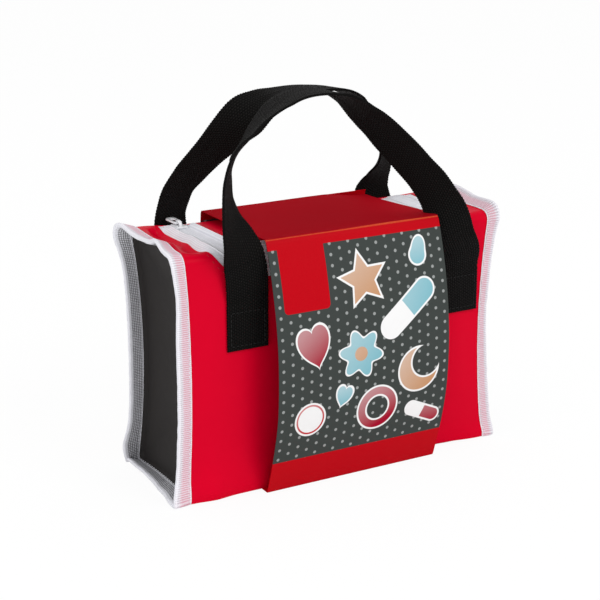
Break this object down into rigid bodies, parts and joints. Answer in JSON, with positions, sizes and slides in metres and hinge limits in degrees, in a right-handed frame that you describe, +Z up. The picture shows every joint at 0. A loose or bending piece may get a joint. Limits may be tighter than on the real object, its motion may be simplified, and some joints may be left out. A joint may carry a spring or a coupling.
{
  "type": "toy doctor case",
  "caption": "Soft box-shaped toy case with bound ends, a zipped lid, two webbing carry handles and a printed card sleeve round its middle.",
  "frame": {"origin": "on the ground, under the middle of the case", "axes": "+X along the case to its right end, seen from the front; +Y from the front to the back; +Z up"},
  "size_m": [0.247, 0.1071, 0.2545],
  "materials": {
    "red_coated_fabric": "soft gloss coated fabric",
    "black_coated_fabric": "matte coated fabric",
    "white_binding": "ribbed tape",
    "board": "grey board",
    "zip_tape": "woven tape",
    "zip_coil": "nylon coil",
    "white_metal": "white lacquer",
    "black_webbing": "coarse woven webbing",
    "printed_card": "printed and varnished card"
  },
  "bodies": {
    "root": {"front_panel": "red_coated_fabric", "back_panel": "red_coated_fabric", "bottom_panel": "red_coated_fabric", "top_strip_left": "red_coated_fabric", "top_strip_right": "red_coated_fabric", "end_panel_left": "black_coated_fabric", "end_panel_right": "black_coated_fabric", "binding_left": "white_binding", "binding_right": "white_binding", "front_board": "board", "back_board": "board", "bottom_board": "board", "zip_tape_body": "zip_tape", "zip_coil_body": "zip_coil", "zip_end_left": "zip_tape", "zip_end_right": "zip_tape", "front_foot_left": "black_webbing", "front_foot_right": "black_webbing", "back_foot_left": "black_webbing", "back_foot_right": "black_webbing", "sleeve_front": "printed_card", "sleeve_back": "printed_card", "sleeve_bottom": "printed_card"},
    "lid": {"lid_panel": "red_coated_fabric", "lid_board": "board", "zip_tape_lid": "zip_tape", "zip_coil_lid": "zip_coil"},
    "sleeve_flap": {"sleeve_top": "printed_card"},
    "front_legs": {"front_leg_left": "black_webbing", "front_leg_right": "black_webbing"},
    "front_handle": {"front_loop": "black_webbing"},
    "back_legs": {"back_leg_left": "black_webbing", "back_leg_right": "black_webbing"},
    "back_handle": {"back_loop": "black_webbing"},
    "slider": {"zip_slider": "white_metal", "zip_slider_wing": "white_metal"},
    "pull": {"zip_pull": "white_metal"}
  },
  "joints": [
    {"name": "lid_hinge", "type": "hinge", "parent": "root", "child": "lid", "pos_m": [0, 0.0325, 0.1635], "axis": [-1, 0, 0], "range_deg": [0, 95]},
    {"name": "sleeve_flap_crease", "type": "hinge", "parent": "root", "child": "sleeve_flap", "pos_m": [0, 0.0435, 0.1685], "axis": [-1, 0, 0], "range_deg": [0, 95]},
    {"name": "front_strap_bend", "type": "hinge", "parent": "root", "child": "front_legs", "pos_m": [0, -0.0433, 0.139], "axis": [1, 0, 0], "range_deg": [0, 57]},
    {"name": "front_handle_swing", "type": "hinge", "parent": "front_legs", "child": "front_handle", "pos_m": [0, -0.0487, 0.174], "axis": [1, 0, 0], "range_deg": [0, 120]},
    {"name": "back_strap_bend", "type": "hinge", "parent": "root", "child": "back_legs", "pos_m": [0, 0.0478, 0.1735], "axis": [-1, 0, 0], "range_deg": [0, 47.5]},
    {"name": "back_handle_swing", "type": "hinge", "parent": "back_legs", "child": "back_handle", "pos_m": [0, 0.0463, 0.184], "axis": [-1, 0, 0], "range_deg": [0, 125]},
    {"name": "zip_slide", "type": "slide", "parent": "root", "child": "slider", "axis": [0, -1, 0], "range_m": [0, 0.04]},
    {"name": "pull_tilt", "type": "hinge", "parent": "slider", "child": "pull", "pos_m": [-0.086, 0.027, 0.1666], "axis": [1, 0, 0], "range_deg": [0, 160]}
  ],
  "couplings": [
    {"joint": "sleeve_flap_crease", "follows": "lid_hinge", "ratio": 1},
    {"joint": "front_strap_bend", "follows": "lid_hinge", "ratio": 0.6},
    {"joint": "back_strap_bend", "follows": "lid_hinge", "ratio": 0.5}
  ]
}
